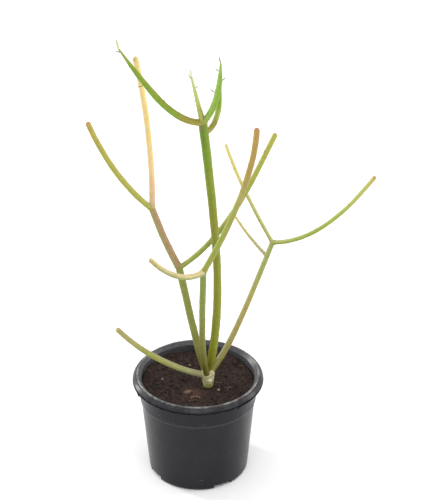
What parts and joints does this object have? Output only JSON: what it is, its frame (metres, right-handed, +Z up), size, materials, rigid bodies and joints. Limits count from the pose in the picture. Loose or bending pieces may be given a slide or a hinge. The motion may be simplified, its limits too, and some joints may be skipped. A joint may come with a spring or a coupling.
{
  "type": "potted pencil cactus",
  "caption": "Young pencil cactus: a short stump with bare forked pencil-like stems, rooted in dark peat in a round tapered nursery pot with a rolled rim.",
  "frame": {"origin": "centre of the pot's flat base, on the surface that it stands on", "axes": "+Z up along the pot's axis; the side with the notch right of centre and the cut scar faces -Y; +X to the viewer's right"},
  "size_m": [0.2535, 0.1429, 0.4532],
  "materials": {
    "pot_plastic": "satin black, dusty at the rim",
    "potting_soil": "rough, crumbly dark peat",
    "trunk_bark": "grey-green skin with a dry tan cut scar",
    "green_stem": "smooth satin skin, faint pale specks",
    "olive_stem": "smooth satin skin, reddish brown on some sides",
    "yellow_green_stem": "smooth satin skin, orange at the tips",
    "pale_stem": "smooth satin skin, cream to peach",
    "young_leaf": "thin soft leaf",
    "soil_fibre": "dry fibre and bark",
    "grit": "pale dry grit"
  },
  "bodies": {
    "root": {"nursery_pot": "pot_plastic", "potting_soil": "potting_soil", "trunk": "trunk_bark", "leader_stem": "green_stem", "crown_left_arm": "green_stem", "crown_right_arm": "green_stem", "crown_back_arm": "green_stem", "crown_middle_arm": "green_stem", "front_stem": "olive_stem", "right_stem": "olive_stem", "left_stem": "olive_stem", "low_left_arm": "olive_stem", "left_stem_upper": "olive_stem", "left_inner_branchlet": "olive_stem", "front_right_branchlet": "olive_stem", "left_outer_branchlet": "yellow_green_stem", "right_outer_branchlet": "yellow_green_stem", "right_inner_branchlet": "yellow_green_stem", "left_pale_branchlet": "pale_stem", "front_left_branchlet": "pale_stem", "right_low_branchlet": "pale_stem", "soil_bark_chip": "soil_fibre", "soil_root_fibre": "soil_fibre", "soil_grit_left": "grit", "soil_grit_back": "grit", "soil_grit_front": "grit", "crown_left_tip_leaf": "young_leaf", "crown_left_leaf_1": "young_leaf", "crown_left_leaf_2": "young_leaf", "crown_left_leaf_3": "young_leaf", "crown_left_leaf_4": "young_leaf", "crown_middle_tip_leaf": "young_leaf", "crown_middle_leaf_1": "young_leaf", "crown_middle_leaf_2": "young_leaf", "crown_middle_leaf_3": "young_leaf", "crown_right_tip_leaf": "young_leaf", "crown_right_leaf_1": "young_leaf", "crown_right_leaf_2": "young_leaf", "crown_right_leaf_3": "young_leaf"}
  },
  "joints": []
}
